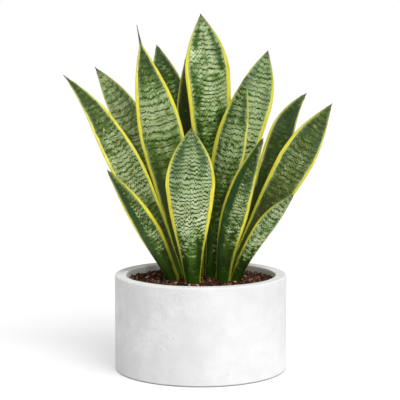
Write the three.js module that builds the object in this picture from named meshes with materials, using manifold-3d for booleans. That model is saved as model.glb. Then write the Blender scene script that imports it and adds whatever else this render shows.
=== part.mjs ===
// Potted snake plant: a rosette of sword-shaped leaves on a rhizome, in potting mix, in a cast
// cement pot. Units are millimetres and +Z is up. The origin is the centre of the pot's underside,
// and -Y is the front.

import * as THREE from 'three';
import { mergeVertices } from 'three/addons/utils/BufferGeometryUtils.js';
import Module from 'manifold-3d';

const wasm = await Module();
wasm.setup();

// ---- Driving dimensions -------------------------------------------------------------------

// Pot: a straight cylinder, cast in one piece
const POT_RADIUS = 100;
const POT_HEIGHT = 111;
const POT_WALL = 12.8;
const POT_FLOOR = 14;
const RIM_ROUNDING = 2;
const FOOT_ROUNDING = 1.4;
const INNER_FILLET = 6;
const POT_SEGMENTS = 48;
const ROUNDING_STEPS = 3;
const FOOT_STEPS = 2;
const DRAIN_RADIUS = 6;
const DRAIN_CIRCLE = 45;
const DRAIN_ANGLES = [90, 210, 330];
const DRAIN_SIDES = 12;

// Fit between pieces that touch
const GAP = 0.35;

// Potting mix: filled to just below the rim, and slightly lumpy
const SOIL_BELOW_RIM = 6;
const SOIL_TOP = POT_HEIGHT - SOIL_BELOW_RIM;
const SOIL_RINGS = 4;
const SOIL_LUMP = 0.7;
const SOIL_LUMP_LENGTHS = [9, 11];

// Rhizome: a crown under each leaf, runners that join the crowns, and one root below each crown
const CROWN_HEIGHT = 77;
const CROWN_RADIUS = 10.5;
const CROWN_SIDES = 8;
const CROWN_RINGS = 6;
const RUNNER_RADIUS = 5.5;
const RUNNER_SIDES = 6;
const ROOT_TOP_RADIUS = 1.8;
const ROOT_END_RADIUS = 0.9;
const ROOT_END_HEIGHT = 32;
const ROOT_SPREAD = 1.5;
const ROOT_REACH = 74;
const ROOT_KNEE_AT = 0.5;
const ROOT_KNEE_OUT = 0.6;
const ROOT_SIDES = 5;
const STEEP_STICK = 0.6;

// Leaf blade, shared by every leaf
const LEAF_BURIED = 22;
const LEAF_STATIONS = 15;
const STATION_CROWDING = 1.6;
const SOCKET_STATIONS = 3;
const LEAF_RING = 10;
const LENS_ROUNDNESS = 0.6;
const CUP_SETTLED = 0.7;
const BLADE_TAPER = 0.95;
const BLADE_TIP_HALF = 0.9;
const BLADE_FOOT_EXTRA = 2.6;
const BLADE_BELLY_EXTRA = 0.9;
const BLADE_BELLY_AT = 0.4;
const BLADE_BELLY_SPREAD = 0.3;
const BLADE_THIN_SLOPE = 12;
const BLADE_THIN_SHARE = 0.3;
const SPINE_HALF = 0.3;
const FLICK_START = 0.75;

// Each leaf: where it leaves the soil and where it ends, how far its middle bows from the straight
// line, the compass turn of its face at foot and tip in degrees (0 faces the front, + faces right),
// its full width, how far up it is widest, its foot width as a share of the full width, how deeply
// it is channelled at foot and tip (+ hollow towards its face, - keeled), the length of the dry
// spine at its end, and how far that end flicks sideways.
const LEAVES = [
  { name: 'leaf_front', foot: [-9, -26], tip: [-10, -62, 286], bow: [-2, 0, 0], turn: [0, 0],
    width: 56, widest: 0.62, waist: 0.31, cup: [-0.25, -0.12], spine: 4 },
  { name: 'leaf_tall_centre', foot: [10, 32], tip: [0, 52, 413], bow: [8, 2, 0], turn: [0, 4],
    width: 53, widest: 0.76, waist: 0.3, cup: [0.4, 0.2], spine: 3 },
  { name: 'leaf_tall_left', foot: [-17, 27], tip: [-74, 22, 399], bow: [5, 4, 0], turn: [10, 8],
    width: 52, widest: 0.55, waist: 0.34, cup: [0.3, 0.1], spine: 22, flick: [3, 0, 2] },
  { name: 'leaf_far_left', foot: [-29, 15], tip: [-154, -36, 342], bow: [6, 8, 0], turn: [40, 8],
    width: 38, widest: 0.52, waist: 0.42, cup: [0.3, 0.2], spine: 8, flick: [-9, 0, -3] },
  { name: 'leaf_low_left', foot: [-34, -4], tip: [-106, -32, 235], bow: [3, 0, 1], turn: [-30, -20],
    width: 30, widest: 0.4, waist: 0.52, cup: [-0.5, -0.4], spine: 4 },
  { name: 'leaf_back_left', foot: [-32, 42], tip: [-128, 84, 350], bow: [20, -4, 5], turn: [10, 0],
    width: 35, widest: 0.72, waist: 0.36, cup: [0.3, 0.2], spine: 5 },
  { name: 'leaf_back', foot: [-12, 58], tip: [-54, 112, 377], bow: [8, -6, 0], turn: [0, 0],
    width: 48, widest: 0.68, waist: 0.34, cup: [0.3, 0.2], spine: 3 },
  { name: 'leaf_back_narrow', foot: [-2, 46], tip: [-17, 84, 366], bow: [2, 0, 0], turn: [0, 0],
    width: 36, widest: 0.66, waist: 0.4, cup: [0.3, 0.2], spine: 5 },
  { name: 'leaf_tall_right', foot: [17, 45], tip: [82, 92, 370], bow: [-4, -4, 0], turn: [0, 10],
    width: 45, widest: 0.75, waist: 0.3, cup: [0.3, 0.2], spine: 3 },
  { name: 'leaf_centre_right', foot: [12, 14], tip: [53, 2, 341], bow: [-7, 0, 0], turn: [-30, -35],
    width: 43, widest: 0.62, waist: 0.34, cup: [-0.2, -0.15], spine: 3 },
  { name: 'leaf_front_right', foot: [25, -11], tip: [70, -50, 272], bow: [-10, 2, 2], turn: [-35, -35],
    width: 35, widest: 0.45, waist: 0.5, cup: [-0.3, -0.3], spine: 3 },
  { name: 'leaf_back_right', foot: [40, 36], tip: [127, 62, 319], bow: [3, 0, 0], turn: [-20, -10],
    width: 32, widest: 0.66, waist: 0.36, cup: [0.3, 0.2], spine: 4, flick: [14, 0, -6] },
  { name: 'leaf_far_right', foot: [36, 17], tip: [151, -4, 309], bow: [-2, 4, -1], turn: [-10, -5],
    width: 41, widest: 0.66, waist: 0.32, cup: [0.3, 0.2], spine: 4, flick: [2, 0, -1] },
  { name: 'leaf_low_right', foot: [40, -10], tip: [104, -48, 208], bow: [-5, 0, 2], turn: [20, 20],
    width: 22, widest: 0.6, waist: 0.5, cup: [-0.3, -0.3], spine: 2 },
];

// Runners of the rhizome, from one leaf's crown to the next
const RUNNERS = [
  ['leaf_front', 'leaf_front_right'],
  ['leaf_front', 'leaf_low_left'],
  ['leaf_low_left', 'leaf_far_left'],
  ['leaf_far_left', 'leaf_tall_left'],
  ['leaf_tall_left', 'leaf_back_left'],
  ['leaf_tall_left', 'leaf_tall_centre'],
  ['leaf_tall_centre', 'leaf_back_narrow'],
  ['leaf_back_narrow', 'leaf_back'],
  ['leaf_tall_centre', 'leaf_tall_right'],
  ['leaf_tall_centre', 'leaf_centre_right'],
  ['leaf_centre_right', 'leaf_far_right'],
  ['leaf_far_right', 'leaf_back_right'],
  ['leaf_far_right', 'leaf_low_right'],
];

// ---- Materials ----------------------------------------------------------------------------

const cement = new THREE.MeshStandardMaterial({ color: 0xe6e6e3, roughness: 0.85, metalness: 0 });
const pottingMix = new THREE.MeshStandardMaterial({ color: 0x5b3a2b, roughness: 0.98, metalness: 0 });
const rhizomeFlesh = new THREE.MeshStandardMaterial({ color: 0xcaa56a, roughness: 0.7, metalness: 0 });
const leafBlade = new THREE.MeshStandardMaterial({ color: 0x6f8c55, roughness: 0.5, metalness: 0 });

// ---- Solids: closed lofts and booleans ----------------------------------------------------

// Skin over a stack of rings that have equally many points, closed by a fan at either end.
function closedLoft(rings) {
  const count = rings[0].length;
  const last = rings.length - 1;
  const total = (ring) => ring.reduce((sum, p) => sum.add(p), new THREE.Vector3());
  const centreOf = (ring) => total(ring).divideScalar(count);
  const points = [...rings.flat(), centreOf(rings[0]), centreOf(rings[last])];
  const startPole = rings.length * count;
  const endPole = startPole + 1;
  const faces = [];
  for (let r = 0; r < last; r += 1) {
    for (let k = 0; k < count; k += 1) {
      const a = r * count + k;
      const b = r * count + (k + 1) % count;
      faces.push(a, b, b + count, a, b + count, a + count);
    }
  }
  for (let k = 0; k < count; k += 1) {
    const next = (k + 1) % count;
    faces.push(startPole, next, k);
    faces.push(endPole, last * count + k, last * count + next);
  }
  const geometry = new THREE.BufferGeometry().setFromPoints(points);
  geometry.setIndex(faces);
  return geometry;
}

function toSolid(geometry) {
  const bare = geometry.clone();
  bare.deleteAttribute('normal');
  bare.deleteAttribute('uv');
  const merged = mergeVertices(bare);
  return new wasm.Manifold(new wasm.Mesh({
    numProp: 3,
    vertProperties: new Float32Array(merged.attributes.position.array),
    triVerts: new Uint32Array(merged.index.array),
  }));
}

function toGeometry(solid) {
  const mesh = solid.getMesh();
  const geometry = new THREE.BufferGeometry();
  geometry.setAttribute('position', new THREE.BufferAttribute(mesh.vertProperties, mesh.numProp));
  geometry.setIndex(new THREE.BufferAttribute(mesh.triVerts, 1));
  geometry.computeVertexNormals();
  return geometry;
}

// Round stick through `centres`, with its own radius at each of them. Every ring is turned from one
// common direction, so the stick has no twist.
function taperedStick(centres, radii, sides) {
  const last = centres.length - 1;
  const chord = new THREE.Vector3().subVectors(centres[last], centres[0]).normalize();
  const steep = Math.abs(chord.z) > STEEP_STICK;
  const reference = steep ? new THREE.Vector3(1, 0, 0) : new THREE.Vector3(0, 0, 1);
  const rings = centres.map((centre, k) => {
    const along = centres[Math.min(k + 1, last)].clone().sub(centres[Math.max(k - 1, 0)]).normalize();
    const u = new THREE.Vector3().crossVectors(reference, along).normalize();
    const v = new THREE.Vector3().crossVectors(along, u);
    return Array.from({ length: sides }, (_, side) => {
      const angle = (2 * Math.PI * side) / sides;
      const spoke = u.clone().multiplyScalar(Math.cos(angle)).addScaledVector(v, Math.sin(angle));
      return centre.clone().addScaledVector(spoke, radii[k]);
    });
  });
  return closedLoft(rings);
}

// ---- Pot ----------------------------------------------------------------------------------

const innerRadius = POT_RADIUS - POT_WALL;

// Quarter round from one point of a profile to another, bulging towards `corner`.
function rounded(from, corner, to, steps) {
  return Array.from({ length: steps + 1 }, (_, k) => {
    const s = k / steps;
    const weights = [(1 - s) ** 2, 2 * s * (1 - s), s ** 2];
    return new THREE.Vector2(
      from[0] * weights[0] + corner[0] * weights[1] + to[0] * weights[2],
      from[1] * weights[0] + corner[1] * weights[1] + to[1] * weights[2],
    );
  });
}

function potGeometry() {
  const profile = [
    new THREE.Vector2(0, 0),
    ...rounded([POT_RADIUS - FOOT_ROUNDING, 0], [POT_RADIUS, 0],
      [POT_RADIUS, FOOT_ROUNDING], FOOT_STEPS),
    ...rounded([POT_RADIUS, POT_HEIGHT - RIM_ROUNDING], [POT_RADIUS, POT_HEIGHT],
      [POT_RADIUS - RIM_ROUNDING, POT_HEIGHT], ROUNDING_STEPS),
    ...rounded([innerRadius + RIM_ROUNDING, POT_HEIGHT], [innerRadius, POT_HEIGHT],
      [innerRadius, POT_HEIGHT - RIM_ROUNDING], ROUNDING_STEPS),
    ...rounded([innerRadius, POT_FLOOR + INNER_FILLET], [innerRadius, POT_FLOOR],
      [innerRadius - INNER_FILLET, POT_FLOOR], ROUNDING_STEPS),
    new THREE.Vector2(0, POT_FLOOR),
  ];
  const body = new THREE.LatheGeometry(profile, POT_SEGMENTS).rotateX(Math.PI / 2);
  const holeDepth = 3 * POT_FLOOR;
  let solid = toSolid(body);
  for (const angle of DRAIN_ANGLES) {
    const turn = THREE.MathUtils.degToRad(angle);
    const hole = new THREE.CylinderGeometry(DRAIN_RADIUS, DRAIN_RADIUS, holeDepth, DRAIN_SIDES);
    hole.rotateX(Math.PI / 2).translate(DRAIN_CIRCLE * Math.cos(turn), DRAIN_CIRCLE * Math.sin(turn), 0);
    solid = solid.subtract(toSolid(hole));
  }
  return toGeometry(solid);
}

// ---- Leaves -------------------------------------------------------------------------------

const smooth = (x) => THREE.MathUtils.smoothstep(x, 0, 1);

// Centre of the blade at t, from 0 at the soil to 1 at the end of the spine.
function centreline(leaf) {
  const foot = new THREE.Vector3(leaf.foot[0], leaf.foot[1], SOIL_TOP);
  const flick = new THREE.Vector3(...(leaf.flick ?? [0, 0, 0]));
  const end = new THREE.Vector3(...leaf.tip).sub(flick);
  const bow = new THREE.Vector3(...leaf.bow);
  const middle = foot.clone().add(end).multiplyScalar(0.5).addScaledVector(bow, 2);
  const arc = new THREE.QuadraticBezierCurve3(foot, middle, end);
  const flicked = (t) => Math.max((t - FLICK_START) / (1 - FLICK_START), 0);
  return {
    length: arc.getLength(),
    at: (t) => arc.getPoint(t).addScaledVector(flick, flicked(t) ** 2),
    along: (t) => {
      const slope = middle.clone().sub(foot).multiplyScalar(2 * (1 - t));
      slope.addScaledVector(end.clone().sub(middle), 2 * t);
      return slope.addScaledVector(flick, (2 * flicked(t)) / (1 - FLICK_START)).normalize();
    },
  };
}

// Half of the blade's width: a waist at the soil, a belly, then a point that runs out in a spine.
function halfWidth(leaf, length, t) {
  const bladeEnd = 1 - leaf.spine / length;
  const up = Math.min(t / leaf.widest, 1);
  const easedUp = (1 - Math.cos(Math.PI * up)) / 2;
  const swell = (up + easedUp) / 2;
  const past = THREE.MathUtils.clamp((t - leaf.widest) / (bladeEnd - leaf.widest), 0, 1);
  const below = leaf.waist + (1 - leaf.waist) * swell;
  const share = t < leaf.widest ? below : (1 - past ** 2) ** BLADE_TAPER;
  return Math.hypot((leaf.width / 2) * share, 1 - t + SPINE_HALF);
}

function halfThickness(t) {
  const belly = Math.exp(-(((t - BLADE_BELLY_AT) / BLADE_BELLY_SPREAD) ** 2));
  const blade = BLADE_TIP_HALF + BLADE_FOOT_EXTRA * (1 - t) ** 2 + BLADE_BELLY_EXTRA * belly;
  return blade * THREE.MathUtils.clamp((1 - t) * BLADE_THIN_SLOPE, BLADE_THIN_SHARE, 1);
}

// One cross-section of the blade, a channelled lens. `grow` fattens it all round.
function leafRing(leaf, line, t, grow) {
  const turn = THREE.MathUtils.degToRad(THREE.MathUtils.lerp(...leaf.turn, t));
  const facing = new THREE.Vector3(Math.sin(turn), -Math.cos(turn), 0);
  const along = line.along(t);
  const across = new THREE.Vector3().crossVectors(along, facing).normalize();
  const outward = new THREE.Vector3().crossVectors(across, along);
  const half = halfWidth(leaf, line.length, t);
  const cup = THREE.MathUtils.lerp(...leaf.cup, smooth(t / CUP_SETTLED)) * half;
  const centre = line.at(t);
  return Array.from({ length: LEAF_RING }, (_, k) => {
    const angle = (-2 * Math.PI * k) / LEAF_RING;
    const u = Math.cos(angle);
    const lift = Math.sin(angle);
    const face = Math.sign(lift) * Math.abs(lift) ** LENS_ROUNDNESS;
    const rise = cup * u ** 2 + (halfThickness(t) + grow) * face;
    return centre.clone().addScaledVector(across, u * (half + grow)).addScaledVector(outward, rise);
  });
}

// The blade above the soil, on a foot that runs straight down to the rhizome.
function leafLoft(leaf, grow, lastStation) {
  const line = centreline(leaf);
  const station = (k) => 1 - (1 - k / LEAF_STATIONS) ** STATION_CROWDING;
  const rings = Array.from({ length: lastStation + 1 }, (_, k) => leafRing(leaf, line, station(k), grow));
  const lowered = (depth) => rings[0].map((p) => p.clone().setZ(p.z - depth));
  return closedLoft([lowered(LEAF_BURIED + grow), lowered(LEAF_BURIED / 2), ...rings]);
}

// ---- Rhizome with its roots ---------------------------------------------------------------

function crownCentre(leaf) {
  return new THREE.Vector3(leaf.foot[0], leaf.foot[1], CROWN_HEIGHT);
}

function rhizomeSolid(grow) {
  const byName = Object.fromEntries(LEAVES.map((leaf) => [leaf.name, leaf]));
  let solid = null;
  const join = (geometry) => {
    solid = solid ? solid.add(toSolid(geometry)) : toSolid(geometry);
  };
  for (const leaf of LEAVES) {
    const centre = crownCentre(leaf);
    const crown = new THREE.SphereGeometry(CROWN_RADIUS + grow, CROWN_SIDES, CROWN_RINGS);
    join(crown.rotateX(Math.PI / 2).translate(centre.x, centre.y, centre.z));
    const spread = Math.min(ROOT_SPREAD, ROOT_REACH / Math.hypot(centre.x, centre.y));
    const end = new THREE.Vector3(centre.x * spread, centre.y * spread, ROOT_END_HEIGHT - grow);
    const knee = centre.clone().lerp(end, ROOT_KNEE_AT);
    knee.lerp(new THREE.Vector3(end.x, end.y, knee.z), ROOT_KNEE_OUT);
    const kneeRadius = (ROOT_TOP_RADIUS + ROOT_END_RADIUS) / 2;
    const radii = [ROOT_TOP_RADIUS, kneeRadius, ROOT_END_RADIUS].map((radius) => radius + grow);
    join(taperedStick([centre, knee, end], radii, ROOT_SIDES));
  }
  for (const pair of RUNNERS) {
    const ends = pair.map((name) => crownCentre(byName[name]));
    join(taperedStick(ends, ends.map(() => RUNNER_RADIUS + grow), RUNNER_SIDES));
  }
  return solid;
}

// ---- Potting mix --------------------------------------------------------------------------

function soilGeometry(rhizomeHole) {
  const radius = innerRadius - GAP;
  const bottom = POT_FLOOR + GAP;
  const top = Array.from({ length: SOIL_RINGS + 1 }, (_, k) => (
    new THREE.Vector2((radius * (SOIL_RINGS - k)) / SOIL_RINGS, SOIL_TOP)
  ));
  const profile = [
    new THREE.Vector2(0, bottom),
    new THREE.Vector2(radius - INNER_FILLET, bottom),
    new THREE.Vector2(radius, bottom + INNER_FILLET),
    ...top,
  ];
  const fill = new THREE.LatheGeometry(profile, POT_SEGMENTS / 2).rotateX(Math.PI / 2);
  const position = fill.attributes.position;
  for (let k = 0; k < position.count; k += 1) {
    if (position.getZ(k) > SOIL_TOP - SOIL_LUMP) {
      const across = position.getX(k) / SOIL_LUMP_LENGTHS[0];
      const back = position.getY(k) / SOIL_LUMP_LENGTHS[1];
      const lump = Math.sin(across) * Math.cos(back);
      position.setZ(k, SOIL_TOP + SOIL_LUMP * lump);
    }
  }
  let solid = toSolid(fill).subtract(rhizomeHole);
  for (const leaf of LEAVES) {
    solid = solid.subtract(toSolid(leafLoft(leaf, GAP, SOCKET_STATIONS)));
  }
  return toGeometry(solid);
}

// ---- The plant in its pot -----------------------------------------------------------------

const plant = new THREE.Group();

function addPiece(name, geometry, material) {
  const mesh = new THREE.Mesh(geometry, material);
  mesh.name = name;
  plant.add(mesh);
}

const rhizomeHole = rhizomeSolid(GAP);

addPiece('pot', potGeometry(), cement);
addPiece('potting_mix', soilGeometry(rhizomeHole), pottingMix);
addPiece('rhizome', toGeometry(rhizomeSolid(0)), rhizomeFlesh);
for (const leaf of LEAVES) {
  const blade = toSolid(leafLoft(leaf, 0, LEAF_STATIONS)).subtract(rhizomeHole);
  addPiece(leaf.name, toGeometry(blade), leafBlade);
}

export default plant;
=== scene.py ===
# %% [markdown]
# # A potted snake plant
#
# Fourteen sword-shaped leaves stand up from potting mix in a round cement pot. The frame below holds the
# plain solids of the same object: it fixes every size and place. Each step that follows makes one of the
# finished pieces in the space that its plain solid holds.

import math

import bmesh
import bpy
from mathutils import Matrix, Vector, noise


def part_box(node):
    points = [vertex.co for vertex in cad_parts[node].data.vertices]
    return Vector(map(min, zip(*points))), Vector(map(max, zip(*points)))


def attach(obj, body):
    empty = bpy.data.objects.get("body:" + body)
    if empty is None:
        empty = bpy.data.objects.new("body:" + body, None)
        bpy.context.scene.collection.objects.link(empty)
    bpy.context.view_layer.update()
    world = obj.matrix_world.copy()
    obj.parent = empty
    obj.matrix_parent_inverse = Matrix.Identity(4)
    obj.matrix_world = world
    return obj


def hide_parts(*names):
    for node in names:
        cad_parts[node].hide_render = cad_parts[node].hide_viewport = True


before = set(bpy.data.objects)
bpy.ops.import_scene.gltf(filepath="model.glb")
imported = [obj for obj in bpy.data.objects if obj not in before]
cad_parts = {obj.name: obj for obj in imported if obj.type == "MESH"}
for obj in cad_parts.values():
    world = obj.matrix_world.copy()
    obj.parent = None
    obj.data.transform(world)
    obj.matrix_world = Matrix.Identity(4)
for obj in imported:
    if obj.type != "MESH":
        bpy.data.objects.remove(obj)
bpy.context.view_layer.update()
MM = 0.001

pot_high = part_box("pot")[1]
mix_low, mix_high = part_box("potting_mix")
SOIL_BELOW_RIM = 6 * MM
POT_RADIUS = pot_high.x
POT_HEIGHT = pot_high.z
SOIL_TOP = POT_HEIGHT - SOIL_BELOW_RIM
SOIL_RADIUS = mix_high.x
SOIL_FLOOR = mix_low.z
print(f"pot {2 * POT_RADIUS / MM:.0f} mm wide and {POT_HEIGHT / MM:.0f} mm tall")

# %% [markdown]
# ## Sums with nodes
#
# Both the leaf shapes and all the finishes are sums on nodes. A node tree could be wired one link at a
# time, but a long formula is unreadable that way. Here a small class carries a number through the tree, so
# that `a * b + c` makes a multiply node and an add node and links them.

# %% Numbers and arrows that travel through a node tree
def feed(tree, value, socket):
    """Link a travelling value to a socket, or set the socket to a plain one."""
    if isinstance(value, Flow):
        tree.links.new(value.socket, socket)
    else:
        socket.default_value = value


def step(tree, kind, settings=None, **inputs):
    """Add one node, with its settings, and feed its named inputs."""
    made = tree.nodes.new(kind)
    for setting, choice in (settings or {}).items():
        setattr(made, setting, choice)
    for word, value in inputs.items():
        feed(tree, value, made.inputs[word.replace("_", " ")])
    return made


class Flow:
    """One number on its way through a node tree."""

    def __init__(self, tree, socket):
        self.tree = tree
        self.socket = socket

    def math(self, operation, *others):
        made = self.tree.nodes.new("ShaderNodeMath")
        made.operation = operation
        for value, socket in zip((self, *others), made.inputs):
            feed(self.tree, value, socket)
        return Flow(self.tree, made.outputs[0])

    def __add__(self, other):
        return self.math("ADD", other)

    def __sub__(self, other):
        return self.math("SUBTRACT", other)

    def __mul__(self, other):
        return self.math("MULTIPLY", other)

    def __truediv__(self, other):
        return self.math("DIVIDE", other)

    def __pow__(self, other):
        return self.math("POWER", other)

    def __rsub__(self, other):
        return (self * -1.0) + other

    __radd__ = __add__
    __rmul__ = __mul__

    def size(self):
        return self.math("ABSOLUTE")

    def clip(self):
        return self.math("MAXIMUM", 0.0).math("MINIMUM", 1.0)

    def ramp(self, low, high):
        """0 below low, 1 above high, and smooth between."""
        made = step(self.tree, "ShaderNodeMapRange", {"interpolation_type": "SMOOTHSTEP"}, Value=self)
        feed(self.tree, low, made.inputs["From Min"])
        feed(self.tree, high, made.inputs["From Max"])
        return Flow(self.tree, made.outputs[0])


class Arrow(Flow):
    """One vector on its way through a node tree."""

    def vector_math(self, operation, other=None):
        made = self.tree.nodes.new("ShaderNodeVectorMath")
        made.operation = operation
        feed(self.tree, self, made.inputs[0])
        if other is not None:
            feed(self.tree, other, made.inputs[1])
        return Arrow(self.tree, made.outputs[0])

    def __add__(self, other):
        return self.vector_math("ADD", other)

    def __sub__(self, other):
        return self.vector_math("SUBTRACT", other)

    def __mul__(self, other):
        made = self.tree.nodes.new("ShaderNodeVectorMath")
        made.operation = "SCALE"
        feed(self.tree, self, made.inputs[0])
        feed(self.tree, other, made.inputs["Scale"])
        return Arrow(self.tree, made.outputs[0])

    def cross(self, other):
        return self.vector_math("CROSS_PRODUCT", other)

    def unit(self):
        return self.vector_math("NORMALIZE")

    def parts(self):
        made = step(self.tree, "ShaderNodeSeparateXYZ", Vector=self)
        return [Flow(self.tree, socket) for socket in made.outputs]


def join(tree, x, y, z):
    return Arrow(tree, step(tree, "ShaderNodeCombineXYZ", X=x, Y=y, Z=z).outputs[0])


def grain(tree, where, scale=1.0, detail=2.0, roughness=0.5):
    """Soft random values round 0.5 that change over about 1 / scale."""
    made = step(tree, "ShaderNodeTexNoise", Vector=where, Scale=scale, Detail=detail, Roughness=roughness)
    return Flow(tree, made.outputs[0])


print("node sums ready")

# %% [markdown]
# ## Paint
#
# A finish mixes a few colours by masks that run from 0 to 1. Colours are written as the usual hex codes
# and turned to the linear values that the renderer adds up.

# %% Colours, mixing and an empty finish
def paint(code):
    """Linear colour from a hex code such as #a0b080."""
    channels = [int(code[k:k + 2], 16) / 255 for k in (1, 3, 5)]
    linear = [c / 12.92 if c <= 0.04045 else ((c + 0.055) / 1.055) ** 2.4 for c in channels]
    return (*linear, 1.0)


def blend(tree, mask, under, over):
    """`under` where the mask is 0 and `over` where it is 1."""
    made = tree.nodes.new("ShaderNodeMix")
    made.data_type = "RGBA"
    for value, place in ((mask, 0), (under, 6), (over, 7)):
        feed(tree, value, made.inputs[place])
    return Flow(tree, made.outputs[2])


def new_finish(title):
    """A material with a shader, and its tree."""
    finish = bpy.data.materials.new(title)
    finish.use_nodes = True
    shader = finish.node_tree.nodes["Principled BSDF"]
    return finish, finish.node_tree, shader


def raise_surface(tree, shader, height, depth):
    """Bump the surface by a height that runs from 0 to 1, `depth` metres deep."""
    made = step(tree, "ShaderNodeBump", Height=height, Distance=depth, Strength=1.0)
    tree.links.new(made.outputs[0], shader.inputs["Normal"])


def carried(tree, word):
    """An attribute that the mesh carries, as an arrow."""
    made = tree.nodes.new("ShaderNodeAttribute")
    made.attribute_name = word
    return Arrow(tree, made.outputs["Vector"])


print("light green in linear values:", [round(c, 3) for c in paint("#a3b78a")[:3]])

# %% [markdown]
# ## Leaf finish
#
# A leaf of this kind is pale green with dark cross bands. The bands zigzag, because each strip of cells
# along the leaf turned dark at a slightly different height. A yellow margin follows both edges, the foot is
# plain green and the tip dries to a dull spine. The foot where it meets the soil, the lower part of the
# leaves inside the clump and the left part of a keeled leaf are painted darker as shade. A picture could be
# wrapped round each leaf, but bands made by a formula never repeat and stay sharp.
#
# Every leaf carries its own measures, so one finish serves all fourteen. `blade` is (across, along, half
# width) in millimetres and `growth` is (distance to the tip, how orderly its bands are, seed). `habit` is
# (margin width, spine length, darkness) and `dress` is (where the painted shade on the left part ends, band
# spacing, how far up the painted shade on the lower leaf reaches). `tones` is (extra green at the top,
# olive cast, plain shoulders).

# %% What each leaf tells its finish
class Blade:
    """The measures that a leaf carries, and the soft random fields that its pattern is made from."""

    def __init__(self, tree):
        self.tree = tree
        self.across, self.along, self.half = carried(tree, "blade").parts()
        self.to_tip, self.ruled, seed = carried(tree, "growth").parts()
        self.margin_width, self.spine, self.darkness = carried(tree, "habit").parts()
        self.panel, self.spacing, self.shade = carried(tree, "dress").parts()
        self.top_tone, self.warmth, self.sides = carried(tree, "tones").parts()
        self.shift = seed * 61.7
        self.outer = self.across.size() / self.half
        self.edge = self.half - self.across.size()
        # Painted shade: below the `shade` height the leaf darkens, standing in for the shade low inside the
        # clump.
        self.low = self.along.ramp(self.shade, self.shade * 0.3)
        self.top = self.to_tip.ramp(120.0, 20.0)
        # Painted shade: the part left of `panel`, on a keeled leaf the half that is turned from the light.
        self.shaded_panel = (self.panel * self.half - self.across).ramp(-1.5, 1.5)
        self.strip = self.field(5.0, 30.0, 9.0)
        self.fringe = self.field(1.1, 9.0, 17.0) - 0.5
        self.patch = self.field(9.0, 13.0, 29.0, 2.0) - 0.5
        self.speck = self.field(0.9, 1.5, 37.0, 2.0, 0.6) - 0.5
        self.cloud = self.field(16.0, 34.0, 41.0, 2.0)
        self.streak = self.field(0.55, 26.0, 67.0, 2.0)

    def field(self, wide, tall, offset, detail=1.0, roughness=0.5):
        """Random values that change over `wide` millimetres across the leaf and `tall` along it."""
        where = join(self.tree, self.across / wide, self.along / tall, self.shift + offset)
        return grain(self.tree, where, 1.0, detail, roughness)


print("a leaf's finish can read its measures")

# %% Cross bands
TOOTH_WIDTH = 4.2
TOOTH_HEIGHT = 2.4
FRINGE = 2.8
BAND_DRIFT = 11.0
BOLD_LINE = 2.4
FINE_LINE = 1.5
FINE_SPACING = 0.45


def band_height(leaf):
    """Height along the leaf, bent by slow drifts and by the teeth and fringe of its strips of cells."""
    drift = leaf.field(26.0, 38.0, 0.0) - 0.5
    teeth = (leaf.across * (math.pi / TOOTH_WIDTH) + leaf.strip * 9.0).math("SINE").size() * -1.0
    bite = leaf.field(8.0, 11.0, 13.0).ramp(0.3, 0.6) * 0.8 + 0.4
    return (leaf.along + teeth * TOOTH_HEIGHT * bite + leaf.fringe * FRINGE + drift * BAND_DRIFT
            - leaf.outer * leaf.outer * 3.0)


def cross_bands(leaf, height, spacing, width, shift):
    """Dark lines across the leaf: sharp below, fading above, each band with its own strength."""
    turns = height / spacing
    number = turns.math("FLOOR")
    chance = step(leaf.tree, "ShaderNodeTexWhiteNoise", {"noise_dimensions": "1D"}, W=number + shift)
    rise = (turns - number) * spacing
    line = rise.ramp(0.0, width * 0.25) * rise.ramp(width, width * 0.4)
    broken = grain(leaf.tree, join(leaf.tree, leaf.across / 4.0, height / 7.0, shift + 5.0), 1.0, 1.0)
    return line * (Flow(leaf.tree, chance.outputs["Value"]) * 0.65 + 0.35) * (broken * 3.0 - 0.5).clip()


print(f"bands with teeth {TOOTH_WIDTH} mm wide and {TOOTH_HEIGHT} mm tall")

# %% The yellow margin
LEMON = paint("#d2c930")
BRIGHT_LEMON = paint("#efe650")
GOLD = paint("#d2a42c")
LIME = paint("#a3b02c")
CREAM = paint("#dcdd96")
LOW_LIME = paint("#a2ab1e")
SHADED_LIME = paint("#6a751a")
TIP_OLIVE = paint("#87913c")


def inside_margin(leaf):
    """Distance inward from the ragged line where green begins, which nears the edge at foot and tip."""
    sway = join(leaf.tree, leaf.across.math("SIGN") * 5.0, leaf.along / 16.0, leaf.shift + 53.0)
    wander = grain(leaf.tree, sway, 1.0, 3.0) - 0.5
    taper = (leaf.along.ramp(-10.0, 120.0) * 0.65 + 0.35) * (leaf.to_tip.ramp(-5.0, 100.0) * 0.8 + 0.2)
    ragged = wander * 1.8 + leaf.speck * 1.1 + leaf.fringe * 1.6
    # Painted shade: the margin also narrows where the lower leaf is darkened.
    return leaf.edge - (leaf.margin_width * taper * (1.0 - leaf.low * 0.4) + ragged)


def margin_colour(leaf, inside):
    """Yellow with gold and lime patches, a creamy line along its inner side, duller ends, and painted shade
    low down on the leaves inside the clump.
    """
    tree = leaf.tree
    stain = leaf.field(3.0, 12.0, 83.0, 3.0, 0.6)
    yellow = blend(tree, leaf.streak.ramp(0.35, 0.65), LEMON, BRIGHT_LEMON)
    yellow = blend(tree, stain.ramp(0.55, 0.75) * 0.55, yellow, GOLD)
    yellow = blend(tree, stain.ramp(0.45, 0.28) * 0.6, yellow, LIME)
    creamy = inside.ramp(-1.8, -0.3) * leaf.cloud.ramp(0.4, 0.6) * leaf.along.ramp(80.0, 150.0)
    yellow = blend(tree, creamy * 0.8, yellow, CREAM)
    yellow = blend(tree, leaf.along.ramp(70.0, 0.0) * 0.6, yellow, LOW_LIME)
    yellow = blend(tree, leaf.low * 0.5, yellow, SHADED_LIME)
    return blend(tree, leaf.to_tip.ramp(70.0, 5.0) * 0.6, yellow, TIP_OLIVE)


print("margin colours ready")

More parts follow.
